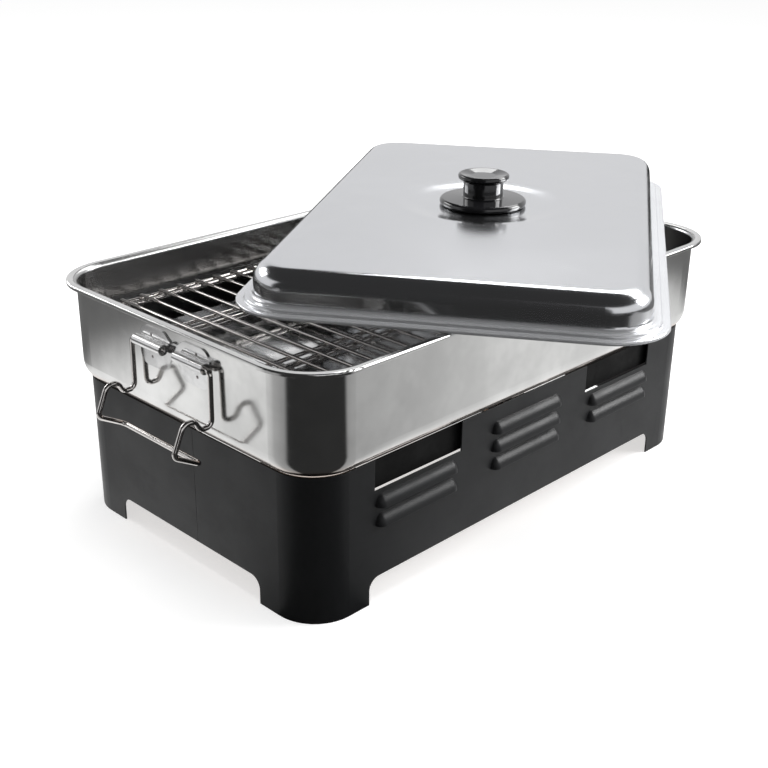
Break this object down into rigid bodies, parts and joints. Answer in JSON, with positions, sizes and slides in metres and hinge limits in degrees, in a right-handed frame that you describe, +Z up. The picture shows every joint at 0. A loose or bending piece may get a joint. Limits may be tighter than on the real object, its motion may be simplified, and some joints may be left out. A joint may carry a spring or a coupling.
{
  "type": "stovetop smoker box",
  "caption": "Rectangular stainless smoker pan with loose knobbed lid, wire grill and swinging wire handles, on a black louvred sheet stand over spirit burners.",
  "frame": {"origin": "on the floor under the middle of the object's bounding box, with the lid askew as pictured; the stand's middle is at x -0.037, y +0.0095", "axes": "+X along the long side, from the end with the front handle in the picture to the other end; +Y from the pictured long side to the far one; +Z up"},
  "size_m": [0.5492, 0.429, 0.2151],
  "materials": {
    "black_coating": "satin black powder coat",
    "pan_steel": "satin stainless steel",
    "lid_steel": "polished stainless steel",
    "wire_chrome": "bright plated wire",
    "knob_black": "gloss black phenolic plastic",
    "insert_brass": "turned brass",
    "fixing_steel": "zinc plated steel",
    "burner_steel": "thin stainless sheet",
    "burner_wool": "white mineral wool"
  },
  "bodies": {
    "stand": {"stand_front_half": "black_coating", "stand_rear_half": "black_coating", "seam_strap_left": "black_coating", "seam_strap_right": "black_coating", "pan_rail_front": "black_coating", "pan_rail_rear": "black_coating"},
    "pan": {"pan": "pan_steel", "handle_plate_left": "pan_steel", "handle_plate_right": "pan_steel"},
    "handle_left": {"handle_left": "wire_chrome"},
    "handle_right": {"handle_right": "wire_chrome"},
    "knob": {"lid_knob": "knob_black", "knob_insert": "insert_brass", "knob_washer": "fixing_steel", "knob_screw": "fixing_steel"},
    "lid": {"lid_shell": "lid_steel"},
    "grill": {"grill_frame": "wire_chrome", "grill_cross_wires": "wire_chrome", "grill_runners": "wire_chrome", "grill_legs": "wire_chrome"},
    "tray": {"drip_tray": "pan_steel", "drip_tray_feet": "pan_steel"},
    "burner_left": {"burner_left_cup": "burner_steel", "burner_left_wool_pad": "burner_wool", "burner_left_disc": "burner_steel"},
    "burner_left_cap": {"burner_left_cap": "burner_steel"},
    "burner_right": {"burner_right_cup": "burner_steel", "burner_right_wool_pad": "burner_wool", "burner_right_disc": "burner_steel"},
    "burner_right_cap": {"burner_right_cap": "burner_steel"}
  },
  "joints": [
    {"name": "pan_lift", "type": "slide", "parent": "stand", "child": "pan", "axis": [0, 0, 1], "range_m": [0, 0.16]},
    {"name": "handle_left_hinge", "type": "hinge", "parent": "pan", "child": "handle_left", "pos_m": [-0.2456, 0.0035, 0.15], "axis": [0, 1, 0], "range_deg": [0, 150]},
    {"name": "handle_right_hinge", "type": "hinge", "parent": "pan", "child": "handle_right", "pos_m": [0.1716, 0.0035, 0.15], "axis": [0, -1, 0], "range_deg": [0, 70]},
    {"name": "lid_lift", "type": "slide", "parent": "pan", "child": "knob", "axis": [0, 0, 1], "range_m": [0, 0.2]},
    {"name": "lid_turn", "type": "hinge", "parent": "knob", "child": "lid", "pos_m": [0.0379, 0.0006, 0.18], "axis": [0, 0, 1], "range_deg": [-33.6, 56.4]},
    {"name": "grill_lift", "type": "slide", "parent": "pan", "child": "grill", "axis": [0, 0, 1], "range_m": [0, 0.1]},
    {"name": "tray_lift", "type": "slide", "parent": "pan", "child": "tray", "axis": [0, 0, 1], "range_m": [0, 0.05]},
    {"name": "burner_left_lift", "type": "slide", "parent": "stand", "child": "burner_left", "axis": [0, 0, 1], "range_m": [0, 0.08]},
    {"name": "burner_left_cap_lift", "type": "slide", "parent": "burner_left", "child": "burner_left_cap", "axis": [0, 0, 1], "range_m": [0, 0.025]},
    {"name": "burner_right_lift", "type": "slide", "parent": "stand", "child": "burner_right", "axis": [0, 0, 1], "range_m": [0, 0.08]},
    {"name": "burner_right_cap_lift", "type": "slide", "parent": "burner_right", "child": "burner_right_cap", "axis": [0, 0, 1], "range_m": [0, 0.025]}
  ],
  "couplings": [
    {"joint": "grill_lift", "follows": "lid_lift", "ratio": 0.5},
    {"joint": "tray_lift", "follows": "lid_lift", "ratio": 0.25},
    {"joint": "burner_left_lift", "follows": "pan_lift", "ratio": 0.5},
    {"joint": "burner_right_lift", "follows": "pan_lift", "ratio": 0.5}
  ]
}
